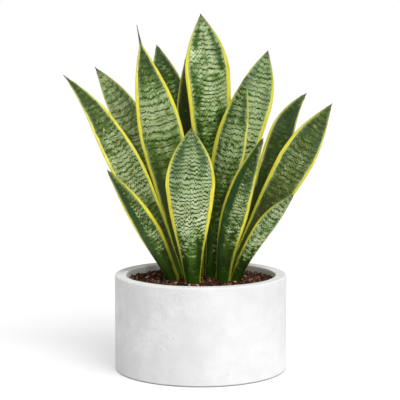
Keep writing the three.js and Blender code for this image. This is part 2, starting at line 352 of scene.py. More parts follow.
# %% The green blade
PALEST = paint("#cddab0")
PALE = paint("#a9bb88")
MID_GREEN = paint("#607e33")
DEEP_GREEN = paint("#1a3000")
OLIVE_CAST = paint("#6e6b44")
BLOOM_GREY = paint("#475f4a")
SHADED_PANEL_GREEN = paint("#2b5a26")
VIVID_GREEN = paint("#55801a")
SHADED_FOOT_GREEN = paint("#2c4c08")
MIDLINE_GREEN = paint("#37521f")


def greenness(leaf, side, bold, fine):
    """How green each spot is, from 0 for pale cream to 1 for the deepest green."""
    blotch = leaf.field(4.4, 2.8, 47.0, 3.0, 0.6) - 0.5
    shoulders = side * leaf.sides * leaf.cloud.ramp(0.35, 0.55)
    # The lower leaf and the left part of a keeled leaf are made plainer, as painted shade.
    plain = (leaf.shaded_panel + shoulders + leaf.low * 0.35).clip()
    lines = (bold * 1.6 + fine * leaf.spacing.ramp(4.0, 7.0) * 0.45) * leaf.ruled
    mottle = blotch * (1.2 - leaf.ruled) * 2.4
    foot_mottle = leaf.along.ramp(110.0, 40.0) * leaf.ruled * (blotch * 1.4 + leaf.patch)
    # The per-leaf darkness is partly each leaf's own tone and partly painted shade on the leaves deep in
    # the clump.
    return (0.17 + (lines + mottle) * (1.0 - plain * 0.5) + leaf.patch * (1.6 - leaf.ruled)
            + leaf.speck * 0.3 + leaf.darkness + plain * 0.42 + leaf.top * leaf.top_tone
            + leaf.low * 0.6 + foot_mottle)


def blade_colour(leaf, inside, bold, fine):
    """The banded green, a grey bloom on its shoulders, vivid green low down, a darker midline, and painted
    shade on a keeled leaf's left part and on the foot at the soil.
    """
    tree = leaf.tree
    side = leaf.outer.ramp(0.25, 0.6) * inside.ramp(0.0, 4.0)
    green = greenness(leaf, side, bold, fine)
    body = blend(tree, green.ramp(0.0, 0.26), PALEST, PALE)
    body = blend(tree, green.ramp(0.28, 0.58), body, MID_GREEN)
    body = blend(tree, green.ramp(0.48, 0.88), body, DEEP_GREEN)
    body = blend(tree, leaf.warmth, body, OLIVE_CAST)
    shoulder = leaf.top * leaf.cloud.ramp(0.38, 0.56) * (side * 0.7 + 0.3)
    bloom = (shoulder + leaf.shaded_panel * leaf.cloud.ramp(0.45, 0.6) * 0.25).clip()
    body = blend(tree, bloom * leaf.ruled * 0.55, body, BLOOM_GREY)
    # Painted shade on the left part of a keeled leaf.
    body = blend(tree, leaf.shaded_panel * 0.45, body, SHADED_PANEL_GREEN)
    vivid = leaf.outer.ramp(0.75, 0.1) * leaf.along.ramp(95.0, 20.0) * leaf.cloud.ramp(0.35, 0.55)
    body = blend(tree, vivid * 0.35, body, VIVID_GREEN)
    # The foot's plain green, painted darker as shade where it meets the soil.
    foot = (leaf.along + leaf.outer * 10.0 + leaf.fringe * 16.0 + leaf.patch * 24.0).ramp(26.0, 4.0)
    body = blend(tree, foot * 0.85, body, SHADED_FOOT_GREEN)
    midline = leaf.across.size().ramp(0.9, 0.2) * (leaf.strip * 1.6).clip()
    return blend(tree, midline * 0.45, body, MIDLINE_GREEN)


print("blade colours ready")

# %% Put the leaf finish together
LILAC = paint("#979f80")
SEAM_GREEN = paint("#77942f")
DRY_RIM = paint("#948c24")
DULL_TIP = paint("#3f5230")
DRIED_SPINE = paint("#4d4f38")


def leaf_finish():
    finish, tree, shader = new_finish("leaf_finish")
    leaf = Blade(tree)
    inside = inside_margin(leaf)
    height = band_height(leaf)
    bold = cross_bands(leaf, height, leaf.spacing, BOLD_LINE, leaf.shift)
    fine = cross_bands(leaf, height, leaf.spacing * FINE_SPACING, FINE_LINE, leaf.shift + 3.0)
    body = blade_colour(leaf, inside, bold, fine)

    # Where green meets yellow: a lilac haze, a fresh green seam, the margin itself and its dry rim
    haze = inside.ramp(2.8, 0.4) * leaf.cloud.ramp(0.62, 0.45) * leaf.along.ramp(50.0, 110.0)
    body = blend(tree, haze * 0.45, body, LILAC)
    body = blend(tree, inside.ramp(1.2, 0.0) * 0.65, body, SEAM_GREEN)
    body = blend(tree, inside.ramp(0.35, -0.45), body, margin_colour(leaf, inside))
    body = blend(tree, leaf.edge.ramp(0.6, 0.1) * 0.6, body, DRY_RIM)

    # The duller green that leads into the dried spine
    body = blend(tree, leaf.to_tip.ramp(22.0, 3.0) * 0.6, body, DULL_TIP)
    body = blend(tree, (leaf.to_tip / leaf.spine).ramp(1.3, 0.7), body, DRIED_SPINE)
    feed(tree, body, shader.inputs["Base Color"])

    feed(tree, 0.42 + leaf.streak * 0.14 + bold * 0.06, shader.inputs["Roughness"])
    ridge = leaf.field(0.5, 30.0, 71.0, 2.0)
    raise_surface(tree, shader, ridge * 0.6 + bold * 0.25 + leaf.patch * 0.3, 0.12 * MM)
    shader.inputs["Specular IOR Level"].default_value = 0.13
    return finish


LEAF_FINISH = leaf_finish()
print("leaf finish:", len(LEAF_FINISH.node_tree.nodes), "nodes")

# %% [markdown]
# ## Leaves
#
# Each leaf is a channelled blade along a gently bowed line. It has a narrow waist at the soil, a belly
# about two thirds of the way up, and a point. The fourteen differ only in their measures, so one Geometry
# Nodes tree makes them all: it bends a tube into a blade with the same formula as the frame's solids, at a
# finer step. Drawing each leaf by hand would lose that match.

# %% An empty tree, and how every tree ends
def new_tree(name, vectors, numbers):
    """An empty Geometry Nodes tree with named inputs, and those inputs as travelling values."""
    tree = bpy.data.node_groups.new(name, "GeometryNodeTree")
    tree.interface.new_socket("Geometry", in_out="OUTPUT", socket_type="NodeSocketGeometry")
    for word in vectors:
        tree.interface.new_socket(word, in_out="INPUT", socket_type="NodeSocketVector")
    for word in numbers:
        tree.interface.new_socket(word, in_out="INPUT", socket_type="NodeSocketFloat")
    source = tree.nodes.new("NodeGroupInput")
    given = {word: Arrow(tree, source.outputs[word]) for word in vectors}
    given.update({word: Flow(tree, source.outputs[word]) for word in numbers})
    return tree, given


def store(tree, geometry, word, value, kind="FLOAT_VECTOR", domain="POINT"):
    made = step(tree, "GeometryNodeStoreNamedAttribute", {"data_type": kind, "domain": domain},
                Geometry=geometry, Name=word, Value=value)
    return Flow(tree, made.outputs[0])


def finish_tree(tree, geometry, finish):
    """The end of every tree: real geometry, smooth shading, and its finish."""
    real = step(tree, "GeometryNodeRealizeInstances", Geometry=geometry)
    soft = step(tree, "GeometryNodeSetShadeSmooth", Geometry=Flow(tree, real.outputs[0]))
    coated = step(tree, "GeometryNodeSetMaterial", Geometry=Flow(tree, soft.outputs[0]), Material=finish)
    tree.links.new(coated.outputs[0], tree.nodes.new("NodeGroupOutput").inputs[0])


print("tree helpers ready")

# %% The line that a leaf follows
FLICK_START = 0.75


def centre_line(tree, given, t):
    """A bowed arc, then a sideways flick. Gives the place, and the directions across and outward."""
    end = given["Tip"] - given["Flick"]
    middle = (given["Foot"] + end) * 0.5 + given["Bow"] * 2.0
    flicked = ((t - FLICK_START) * 4.0).clip()
    centre = (given["Foot"] * (1.0 - t) ** 2.0 + middle * (t * (1.0 - t) * 2.0) + end * (t * t)
              + given["Flick"] * (flicked * flicked))
    slope = ((middle - given["Foot"]) * ((1.0 - t) * 2.0) + (end - middle) * (t * 2.0)
             + given["Flick"] * (flicked * 8.0)).unit()
    turn_foot, turn_tip, _ = given["Turn"].parts()
    turn = turn_foot + (turn_tip - turn_foot) * t
    facing = join(tree, turn.math("SINE"), turn.math("COSINE") * -1.0, 0.0)
    across = slope.cross(facing).unit()
    return centre, across, across.cross(slope)


print(f"a leaf's flick begins at {FLICK_START:.0%} of its length")

# %% Its width and its section
BLADE_TAPER = 0.95
EDGE_RIPPLE = 0.07
EDGE_FLUTTER = 2.4 * MM
LEAST_THICKNESS = 0.9
FOOT_THICKNESS = 2.6
BELLY_THICKNESS = 0.9


def half_width(tree, given, t, u, along, seed):
    """Waist, swelling belly, taper and spine. Gives the half width and its share of the widest."""
    widest = given["Widest"]
    blade_end = 1.0 - given["Spine"] / given["Length"]
    rise = (t / widest).clip()
    swell = rise * 0.5 + (1.0 - (rise * math.pi).math("COSINE")) * 0.25
    lower = given["Waist"] + (1.0 - given["Waist"]) * swell
    past = ((t - widest) / (blade_end - widest)).clip()
    upper = (1.0 - past * past) ** BLADE_TAPER
    below = t.math("LESS_THAN", widest)
    share = lower * below + upper * (1.0 - below)
    ripple = grain(tree, join(tree, u.math("SIGN") * 3.0, along * 22.0, seed), 1.0, 2.0) - 0.5
    wide = given["Width"] * 0.5 * share * (1.0 + ripple * EDGE_RIPPLE)
    thorn = ((1.0 - t) * given["Length"] / (given["Spine"] * 1.5)).clip()
    thin = (0.4 + thorn ** 1.6 * 2.3) * MM
    return (wide * wide + thin * thin).math("SQRT"), share


def outward_lift(tree, given, t, u, face_side, along, seed, half, share):
    """Channel or keel across the blade, its thickness, and a slight flutter along its edges."""
    cup_foot, cup_tip, _ = given["Cup"].parts()
    cup = (cup_foot + (cup_tip - cup_foot) * (t / 0.7).ramp(0.0, 1.0)) * half
    sharp_fold = (u * u + 0.012).math("SQRT") - 0.11
    fold = u * u * (1.0 - given["Crease"]) + sharp_fold * given["Crease"]
    belly = ((t - 0.4) / 0.3) ** 2.0
    thick = (LEAST_THICKNESS + FOOT_THICKNESS * (1.0 - t) ** 2.0
             + (belly * -1.0).math("EXPONENT") * BELLY_THICKNESS) * MM
    thick = thick * ((1.0 - t) * 12.0).math("MAXIMUM", 0.3).math("MINIMUM", 1.0)
    lens = face_side.math("SIGN") * face_side.size() ** 0.6
    flutter = grain(tree, join(tree, u.math("SIGN") * 3.0 + 7.0, along * 30.0, seed), 1.0, 1.0) - 0.5
    return cup * fold + thick * lens + flutter * u.size() ** 3.0 * share * EDGE_FLUTTER


print(f"a blade is {LEAST_THICKNESS + FOOT_THICKNESS:.1f} mm from its middle to each face at the foot")

# %% The tree that grows a leaf
LEAF_RING = 48
LEAF_STATIONS = 190
BURIED = 15 * MM
BURIED_SHARE = 0.05
TIP_CROWDING = 1.6
VECTOR_INPUTS = ("Foot", "Tip", "Bow", "Flick", "Turn", "Cup", "Habit", "Dress", "Tones")
NUMBER_INPUTS = ("Width", "Widest", "Waist", "Spine", "Length", "Crease", "Lean", "Ruled", "Seed")


def leaf_tree():
    tree, given = new_tree("grow_leaf", VECTOR_INPUTS, NUMBER_INPUTS)
    tube = step(tree, "GeometryNodeMeshCylinder", {"fill_type": "NGON"},
                Vertices=LEAF_RING, Side_Segments=LEAF_STATIONS, Radius=1.0, Depth=1.0)
    place = Arrow(tree, tree.nodes.new("GeometryNodeInputPosition").outputs[0])
    u, face_side, up = place.parts()
    up = up + 0.5
    depth_share = (1.0 - up / BURIED_SHARE).clip()
    climb = ((up - BURIED_SHARE) / (1.0 - BURIED_SHARE)).clip()
    t = 1.0 - (1.0 - climb) ** TIP_CROWDING
    along = t * given["Length"]
    seed = given["Seed"] * 13.1

    centre, across, outward = centre_line(tree, given, t)
    half, share = half_width(tree, given, t, u, along, seed)
    lift = outward_lift(tree, given, t, u, face_side, along, seed, half, share)
    sink = join(tree, 0.0, 0.0, depth_share * -BURIED)
    point = centre + across * (u * half) + outward * lift + sink

    # Measures that the finish reads, in millimetres, noted on the tube before it is bent
    depth = depth_share * (-BURIED / MM)
    to_tip = (1.0 - t) * given["Length"] / MM
    noted = Flow(tree, tube.outputs[0])
    noted = store(tree, noted, "blade", join(tree, u * half / MM, along / MM + depth, half / MM))
    noted = store(tree, noted, "growth", join(tree, to_tip, given["Ruled"], given["Seed"]))
    margin, dry, dark = given["Habit"].parts()
    noted = store(tree, noted, "habit", join(tree, margin * (1.0 - u * given["Lean"]), dry, dark))
    noted = store(tree, noted, "dress", given["Dress"])
    noted = store(tree, noted, "tones", given["Tones"])
    bent = step(tree, "GeometryNodeSetPosition", Geometry=noted, Position=point)
    finish_tree(tree, Flow(tree, bent.outputs[0]), LEAF_FINISH)
    return tree


LEAF_TREE = leaf_tree()
print("leaf tree:", len(LEAF_TREE.nodes), "nodes")

# %% The measures of each leaf
# Places and sizes are in millimetres and turns in degrees, as in the frame's solids. `crease` sharpens the
# fold down the middle. `margin` is the width of the yellow edge, and `lean` makes it wider on the left and
# narrower on the right. `ruled` is 1 for clear cross bands and less for mottling. `spacing` is the distance
# between bands and `dark` makes the whole leaf greener, partly as its own tone and partly as painted shade
# on the leaves deep in the clump. `shade` is the height below which painted shade darkens it, `top`, `warm`
# and
# `sides` set its green top, olive cast and plain shoulders, and `panel` sets the painted shade on its left
# part.
LEAVES = [
    dict(name="leaf_front", foot=(-9, -26), tip=(-10, -62, 286), bow=(-2, 0, 0), turn=(0, 0),
         width=56, widest=0.62, waist=0.31, cup=(-0.25, -0.12), spine=4, crease=0.3,
         ruled=1.0, margin=4.8, dark=-0.04, spacing=4.8, shade=68.0, top=0.2, warm=0.02, sides=0.5),
    dict(name="leaf_tall_centre", foot=(10, 32), tip=(0, 52, 413), bow=(8, 2, 0), turn=(0, 4),
         width=53, widest=0.76, waist=0.3, cup=(0.4, 0.2), spine=3, crease=0.2,
         ruled=0.75, margin=5.8, dark=-0.18, spacing=5.6, shade=315.0, top=0.2, warm=0.0, sides=0.9),
    dict(name="leaf_tall_left", foot=(-17, 27), tip=(-74, 22, 399), bow=(5, 4, 0), turn=(10, 8),
         width=52, widest=0.55, waist=0.34, cup=(0.3, 0.1), spine=22, flick=(3, 0, 2), crease=0.2,
         ruled=0.95, margin=4.2, dark=0.0, spacing=8.5, shade=225.0, top=0.6, warm=0.12, sides=0.3),
    dict(name="leaf_far_left", foot=(-29, 15), tip=(-154, -36, 342), bow=(6, 8, 0), turn=(40, 8),
         width=38, widest=0.52, waist=0.42, cup=(0.3, 0.2), spine=8, flick=(-9, 0, -3), crease=0.2,
         ruled=0.85, margin=3.5, dark=0.12, spacing=6.0, shade=120.0, top=0.38, warm=0.2, sides=0.2),
    dict(name="leaf_low_left", foot=(-34, -4), tip=(-106, -32, 235), bow=(3, 0, 1), turn=(-30, -20),
         width=30, widest=0.4, waist=0.52, cup=(-0.5, -0.4), spine=4, crease=0.8,
         ruled=0.7, margin=4.8, lean=0.3, dark=0.14, spacing=5.0, shade=60.0,
         top=0.3, warm=0.12, sides=0.0, panel=-0.02),
    dict(name="leaf_back_left", foot=(-32, 42), tip=(-128, 84, 350), bow=(20, -4, 5), turn=(10, 0),
         width=35, widest=0.72, waist=0.36, cup=(0.3, 0.2), spine=5, crease=0.2,
         ruled=0.8, margin=2.8, dark=-0.26, spacing=8.0, shade=300.0, top=0.3, warm=0.3, sides=0.3),
    dict(name="leaf_back", foot=(-12, 58), tip=(-54, 112, 377), bow=(8, -6, 0), turn=(0, 0),
         width=48, widest=0.68, waist=0.34, cup=(0.3, 0.2), spine=3, crease=0.2,
         ruled=0.75, margin=2.6, dark=0.0, spacing=6.0, shade=240.0, top=0.5, warm=0.1, sides=0.3),
    dict(name="leaf_back_narrow", foot=(-2, 46), tip=(-17, 84, 366), bow=(2, 0, 0), turn=(0, 0),
         width=36, widest=0.66, waist=0.4, cup=(0.3, 0.2), spine=5, crease=0.2,
         ruled=0.6, margin=2.8, dark=0.3, spacing=6.0, shade=300.0, top=0.2, warm=0.2, sides=0.2),
    dict(name="leaf_tall_right", foot=(17, 45), tip=(82, 92, 370), bow=(-4, -4, 0), turn=(0, 10),
         width=45, widest=0.75, waist=0.3, cup=(0.3, 0.2), spine=3, crease=0.2,
         ruled=1.1, margin=3.8, lean=-0.35, dark=-0.15, spacing=6.5, shade=225.0,
         top=0.32, warm=0.0, sides=0.2),
    dict(name="leaf_centre_right", foot=(12, 14), tip=(53, 2, 341), bow=(-7, 0, 0), turn=(-30, -35),
         width=43, widest=0.62, waist=0.34, cup=(-0.2, -0.15), spine=3, crease=0.6,
         ruled=0.8, margin=5.2, lean=0.55, dark=-0.12, spacing=6.5, shade=200.0,
         top=0.4, warm=0.05, sides=0.5),
    dict(name="leaf_front_right", foot=(25, -11), tip=(70, -50, 272), bow=(-10, 2, 2), turn=(-35, -35),
         width=35, widest=0.45, waist=0.5, cup=(-0.3, -0.3), spine=3, crease=0.4,
         ruled=0.65, margin=4.4, lean=0.5, dark=0.1, spacing=4.5, shade=70.0,
         top=0.3, warm=0.08, sides=0.4, panel=-0.08),
    dict(name="leaf_back_right", foot=(40, 36), tip=(127, 62, 319), bow=(3, 0, 0), turn=(-20, -10),
         width=32, widest=0.66, waist=0.36, cup=(0.3, 0.2), spine=4, flick=(14, 0, -6), crease=0.2,
         ruled=0.9, margin=3.2, lean=0.3, dark=0.04, spacing=6.0, shade=240.0,
         top=0.5, warm=0.1, sides=0.1),
    dict(name="leaf_far_right", foot=(36, 17), tip=(151, -4, 309), bow=(-2, 4, -1), turn=(-10, -5),
         width=41, widest=0.66, waist=0.32, cup=(0.3, 0.2), spine=4, flick=(2, 0, -1), crease=0.2,
         ruled=0.9, margin=4.2, lean=0.25, dark=0.08, spacing=7.0, shade=180.0,
         top=0.4, warm=0.2, sides=0.15),
    dict(name="leaf_low_right", foot=(40, -10), tip=(104, -48, 208), bow=(-5, 0, 2), turn=(20, 20),
         width=22, widest=0.6, waist=0.5, cup=(-0.3, -0.3), spine=2, crease=0.4,
         ruled=0.7, margin=2.1, dark=0.06, spacing=6.0, shade=50.0, top=0.0, warm=0.05, sides=0.2),
]
print(len(LEAVES), "leaves in the table")

# %% Run a tree once, and settle what it made
def piece_from_tree(name, tree, values):
    """Run a Geometry Nodes tree once and keep its result as a plain mesh piece."""
    carrier = bpy.data.objects.new(name + "_carrier", bpy.data.meshes.new(name + "_carrier"))
    bpy.context.scene.collection.objects.link(carrier)
    modifier = carrier.modifiers.new("grow", "NODES")
    modifier.node_group = tree
    for item in tree.interface.items_tree:
        if item.in_out == "INPUT" and item.name in values:
            modifier[item.identifier] = values[item.name]
    graph = bpy.context.evaluated_depsgraph_get()
    mesh = bpy.data.meshes.new_from_object(carrier.evaluated_get(graph), depsgraph=graph)
    mesh.name = name
    bpy.data.objects.remove(carrier)
    piece = bpy.data.objects.new(name, mesh)
    bpy.context.scene.collection.objects.link(piece)
    return piece


def settle(piece, slot, *replaced):
    """Hang a finished piece on the root body and hide the solids that it stands for. The slot is not used.
    """
    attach(piece, "root")
    if replaced:
        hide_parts(*replaced)


print("a finished piece is hung on the root body and the solid that it stands for is hidden")

# %% The length of a leaf
ARC_STEPS = 60


def arc_length(leaf):
    """Length of a leaf's centre line in metres, measured in short steps."""
    foot = Vector((*leaf["foot"], SOIL_TOP / MM))
    flick = Vector(leaf.get("flick", (0, 0, 0)))
    end = Vector(leaf["tip"]) - flick
    middle = (foot + end) * 0.5 + Vector(leaf["bow"]) * 2
    stations = [k / ARC_STEPS for k in range(ARC_STEPS + 1)]
    points = [foot * (1 - t) ** 2 + middle * 2 * t * (1 - t) + end * t ** 2 for t in stations]
    return sum((b - a).length for a, b in zip(points, points[1:])) * MM


print(f"the first leaf is {arc_length(LEAVES[0]) / MM:.0f} mm along its centre line")

# %% Grow all fourteen
NO_PANEL = -2.0


def grow_leaf(leaf, seed):
    """Grow one leaf from its measures, and say how far its box is from its solid's."""
    values = {
        "Foot": (leaf["foot"][0] * MM, leaf["foot"][1] * MM, SOIL_TOP),
        "Tip": tuple(c * MM for c in leaf["tip"]),
        "Bow": tuple(c * MM for c in leaf["bow"]),
        "Flick": tuple(c * MM for c in leaf.get("flick", (0, 0, 0))),
        "Turn": (math.radians(leaf["turn"][0]), math.radians(leaf["turn"][1]), 0.0),
        "Cup": (*leaf["cup"], 0.0),
        "Habit": (leaf["margin"], leaf["spine"], leaf["dark"]),
        "Dress": (leaf.get("panel", NO_PANEL), leaf["spacing"], leaf["shade"]),
        "Tones": (leaf["top"], leaf["warm"], leaf["sides"]),
        "Width": leaf["width"] * MM,
        "Widest": leaf["widest"],
        "Waist": leaf["waist"],
        "Spine": leaf["spine"] * MM,
        "Length": arc_length(leaf),
        "Crease": leaf["crease"],
        "Lean": leaf.get("lean", 0.0),
        "Ruled": leaf["ruled"],
        "Seed": float(seed),
    }
    piece = piece_from_tree(leaf["name"] + "_blade", LEAF_TREE, values)
    settle(piece, "leaf", leaf["name"])
    low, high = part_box(leaf["name"])
    columns = list(zip(*(v.co for v in piece.data.vertices)))
    stray = max((high - Vector([max(column) for column in columns])).length,
                (low.xy - Vector([min(column) for column in columns[:2]])).length)
    print(f"{leaf['name']}: {values['Length'] / MM:.0f} mm long, {stray / MM:.1f} mm from its solid")


for seed, leaf in enumerate(LEAVES, start=1):
    grow_leaf(leaf, seed)

# %% [markdown]
# ## Pot
#
# The pot is cast in one piece: a straight wall with a flat rim, both edges slightly rounded, and three
# drain holes. A lathe shape is the plain way to make it. What makes it look cast is what the mould and the
# trowel left: the wall wanders by a fraction of a millimetre and the rim has a few small chips. So the
# profile is turned in many steps, each point is nudged by smooth noise, and the holes are cut last. The
# thin skim coat, which shows in flakes on the left side, is too fine for the mesh and is left to the bump.

# %% Cement finish
POT_WALL = 12.8 * MM
CEMENT_GREY = paint("#c8c8ca")
CEMENT_WHITE = paint("#e8e8e8")
SKIM_WHITE = paint("#f1f1f0")
INNER_WALL_LIGHT = paint("#ffffff")
SAND_GREY = paint("#b9b8b6")
PORE_GREY = paint("#98968f")
CONTACT_SHADOW_GREY = paint("#5a5957")


def swirled_grain(tree, where, scale, detail, roughness, distortion):
    made = step(tree, "ShaderNodeTexNoise", Vector=where, Scale=scale, Detail=detail, Roughness=roughness,
                Distortion=distortion)
    return Flow(tree, made.outputs[0])


def cement_finish():
    finish, tree, shader = new_finish("cement_finish")
    where = Arrow(tree, step(tree, "ShaderNodeTexCoord").outputs["Object"])
    side, depth, height = where.parts()
    cloud = grain(tree, where, 14.0, 4.0, 0.55)
    skim = swirled_grain(tree, where, 55.0, 5.0, 0.62, 0.5)
    layers = swirled_grain(tree, where, 44.0, 4.0, 0.55, 0.25)
    flakes = layers.ramp(0.44, 0.46) * 0.35 + layers.ramp(0.52, 0.535) * 0.4 + layers.ramp(0.6, 0.61) * 0.25
    worn = (grain(tree, where, 17.0, 1.0).ramp(0.38, 0.58) * side.ramp(50 * MM, -70 * MM)) * 0.85 + 0.1
    speck = grain(tree, where, 900.0, 2.0, 0.7)
    pores = step(tree, "ShaderNodeTexVoronoi", {"feature": "F1"}, Vector=where, Scale=150.0)
    pore_size = grain(tree, where, 60.0, 1.0)
    pore = Flow(tree, pores.outputs["Distance"]).ramp(0.14, 0.06) * pore_size.ramp(0.56, 0.7)
    inner_wall = POT_RADIUS - POT_WALL
    inside = (side * side + depth * depth).math("SQRT").ramp(inner_wall + 1.8 * MM, inner_wall + 0.8 * MM)
    colour = blend(tree, (cloud + skim * 0.5 - 0.25).clip(), CEMENT_GREY, CEMENT_WHITE)
    colour = blend(tree, flakes * worn * 0.35, colour, SKIM_WHITE)
    # Painted light: the inside of the wall is paler, standing in for the light that falls there.
    colour = blend(tree, inside * 0.85, colour, INNER_WALL_LIGHT)
    colour = blend(tree, speck.ramp(0.62, 0.8) * 0.3, colour, SAND_GREY)
    colour = blend(tree, pore * 0.5, colour, PORE_GREY)
    # Painted shadow: the bottom two millimetres darken where the pot stands on the floor.
    colour = blend(tree, height.ramp(2.2 * MM, 0.7 * MM) * 0.85, colour, CONTACT_SHADOW_GREY)
    feed(tree, colour, shader.inputs["Base Color"])
    feed(tree, 0.72 + skim * 0.2, shader.inputs["Roughness"])
    ridges = flakes * 1.3 + skim.ramp(0.54, 0.58) * 0.4
    raise_surface(tree, shader, ridges * worn * 1.6 + skim * 0.4 + speck * 0.1 - pore * 0.4, 0.4 * MM)
    shader.inputs["Specular IOR Level"].default_value = 0.3
    return finish


CEMENT_FINISH = cement_finish()
print("cement finish:", len(CEMENT_FINISH.node_tree.nodes), "nodes")

# %% The pot's profile
POT_FLOOR = 14 * MM
RIM_ROUNDING = 2 * MM
FOOT_ROUNDING = 1.4 * MM
INNER_FILLET = 6 * MM


def quarter(centre, radius, start, steps=6):
    """Points of a quarter circle in the profile, from the start angle in degrees."""
    angles = [math.radians(start + 90 * k / steps) for k in range(steps + 1)]
    return [(centre[0] + radius * math.cos(a), centre[1] + radius * math.sin(a)) for a in angles]


def straight(start, end, steps):
    """Points strictly between two ends of a straight stretch of the profile."""
    return [(start[0] + (end[0] - start[0]) * k / steps, start[1] + (end[1] - start[1]) * k / steps)
            for k in range(1, steps)]


def pot_profile():
    inner = POT_RADIUS - POT_WALL
    foot = quarter((POT_RADIUS - FOOT_ROUNDING, FOOT_ROUNDING), FOOT_ROUNDING, -90)
    rim_out = quarter((POT_RADIUS - RIM_ROUNDING, POT_HEIGHT - RIM_ROUNDING), RIM_ROUNDING, 0)
    rim_in = quarter((inner + RIM_ROUNDING, POT_HEIGHT - RIM_ROUNDING), RIM_ROUNDING, 90)
    start = (inner - INNER_FILLET, POT_FLOOR + INNER_FILLET)
    fillet = [(start[0] + INNER_FILLET * math.cos(a), start[1] + INNER_FILLET * math.sin(a))
              for a in [math.radians(-90 * k / 5) for k in range(6)]]
    stretches = [
        straight((0, 0), foot[0], 14), foot,
        straight(foot[-1], rim_out[0], 44), rim_out,
        straight(rim_out[-1], rim_in[0], 8), rim_in,
        straight(rim_in[-1], fillet[0], 20), fillet,
        straight(fillet[-1], (0, POT_FLOOR), 12),
    ]
    return [point for stretch in stretches for point in stretch]


print("pot profile:", len(pot_profile()), "points")

# %% What the mould and the years left
CHIPS = 16
CHIP_TURN = 2.4
CHIP_DEPTH = 0.7 * MM
RIM_BAND = 4 * MM
TRUE_FOOT = 10 * MM
SLOW_WANDER = 0.22 * MM
FAST_WANDER = 0.1 * MM
RIM_WANDER = 0.3 * MM


def chip_depth(point):
    """How deep in a chip a rim point lies, from 0 to 1."""
    depth = 0.0
    for k in range(CHIPS):
        turn = CHIP_TURN * k
        side = POT_RADIUS if k % 3 else POT_RADIUS - POT_WALL
        chip = Vector((side * math.cos(turn), side * math.sin(turn), POT_HEIGHT - (k % 2) * MM))
        size = (1.2 + (k * 7 % 5) * 0.35) * MM
        depth = max(depth, 1 - (point - chip).length / size)
    return max(depth, 0.0)


def weathered(radius, height, angle):
    """A point of the profile at one angle, nudged off its true place."""
    point = Vector((radius * math.cos(angle), radius * math.sin(angle), height))
    wander = noise.noise(point * 22) * SLOW_WANDER + noise.noise(point * 75) * FAST_WANDER
    rim = max(0.0, (height - POT_HEIGHT + RIM_BAND) / RIM_BAND)
    away = Vector((point.x, point.y, 0)).normalized()
    point -= away * (abs(wander) * min(1.0, height / TRUE_FOOT))
    point.z -= rim * abs(noise.noise(point * 40)) * RIM_WANDER
    if rim > 0:
        point.z -= chip_depth(point) * CHIP_DEPTH
    return point


print(f"{CHIPS} small chips on the rim, up to {CHIP_DEPTH / MM:.1f} mm deep")

# %% Turn the pot
POT_STEPS = 240


def turn_pot():
    shape = bmesh.new()
    rings = []
    for radius, height in pot_profile():
        ring = [weathered(radius, height, 2 * math.pi * k / POT_STEPS) for k in range(POT_STEPS)]
        rings.append([shape.verts.new(point) for point in ring])
    for lower, upper in zip(rings, rings[1:]):
        for k in range(POT_STEPS):
            after = (k + 1) % POT_STEPS
            shape.faces.new((lower[k], lower[after], upper[after], upper[k]))
    shape.faces.new(reversed(rings[0]))
    shape.faces.new(rings[-1])
    bmesh.ops.recalc_face_normals(shape, faces=shape.faces)
    mesh = bpy.data.meshes.new("pot_cement")
    shape.to_mesh(mesh)
    shape.free()
    mesh.materials.append(CEMENT_FINISH)
    piece = bpy.data.objects.new("pot_cement", mesh)
    bpy.context.scene.collection.objects.link(piece)
    return piece


turned = turn_pot()
print("turned pot:", len(turned.data.polygons), "faces")

# %% Drill the drain holes
DRAIN_RADIUS = 6 * MM
DRAIN_CIRCLE = 45 * MM
DRAIN_ANGLES = (90, 210, 330)


def drill(piece):
    """Cut the drain holes with short cylinders."""
    for angle in DRAIN_ANGLES:
        turn = math.radians(angle)
        spot = (DRAIN_CIRCLE * math.cos(turn), DRAIN_CIRCLE * math.sin(turn), 0)
        bpy.ops.mesh.primitive_cylinder_add(vertices=40, radius=DRAIN_RADIUS, depth=3 * POT_FLOOR,
                                            location=spot)
        bit = bpy.context.object
        cut = piece.modifiers.new("drill", "BOOLEAN")
        cut.operation = "DIFFERENCE"
        cut.solver = "EXACT"
        cut.object = bit
        graph = bpy.context.evaluated_depsgraph_get()
        drilled = bpy.data.meshes.new_from_object(piece.evaluated_get(graph), depsgraph=graph)
        piece.modifiers.clear()
        piece.data = drilled
        bpy.data.objects.remove(bit)
    piece.data.name = "pot_cement"
    return piece


pot = drill(turned)
pot.data.shade_smooth()
settle(pot, "pot_cement", "pot")
print("pot:", len(pot.data.polygons), "faces")

# %% [markdown]
# ## Potting mix
#
# The mix is bark and peat, crumbled to grains of one to five millimetres. A bump map on a flat disc would
# show at the rim, where the soil meets the wall at eye level. So there are real grains: a low lumpy bed,
# and on it a Geometry Nodes tree that strews crumbs of random size, turn and tint.

# %% Soil finish
PEAT_BLACK = paint("#1e120d")
PEAT_BROWN = paint("#4b2f22")
BARK_BROWN = paint("#80553f")
BARK_PALE = paint("#b8937a")
CREVICE_BROWN = paint("#3a241a")


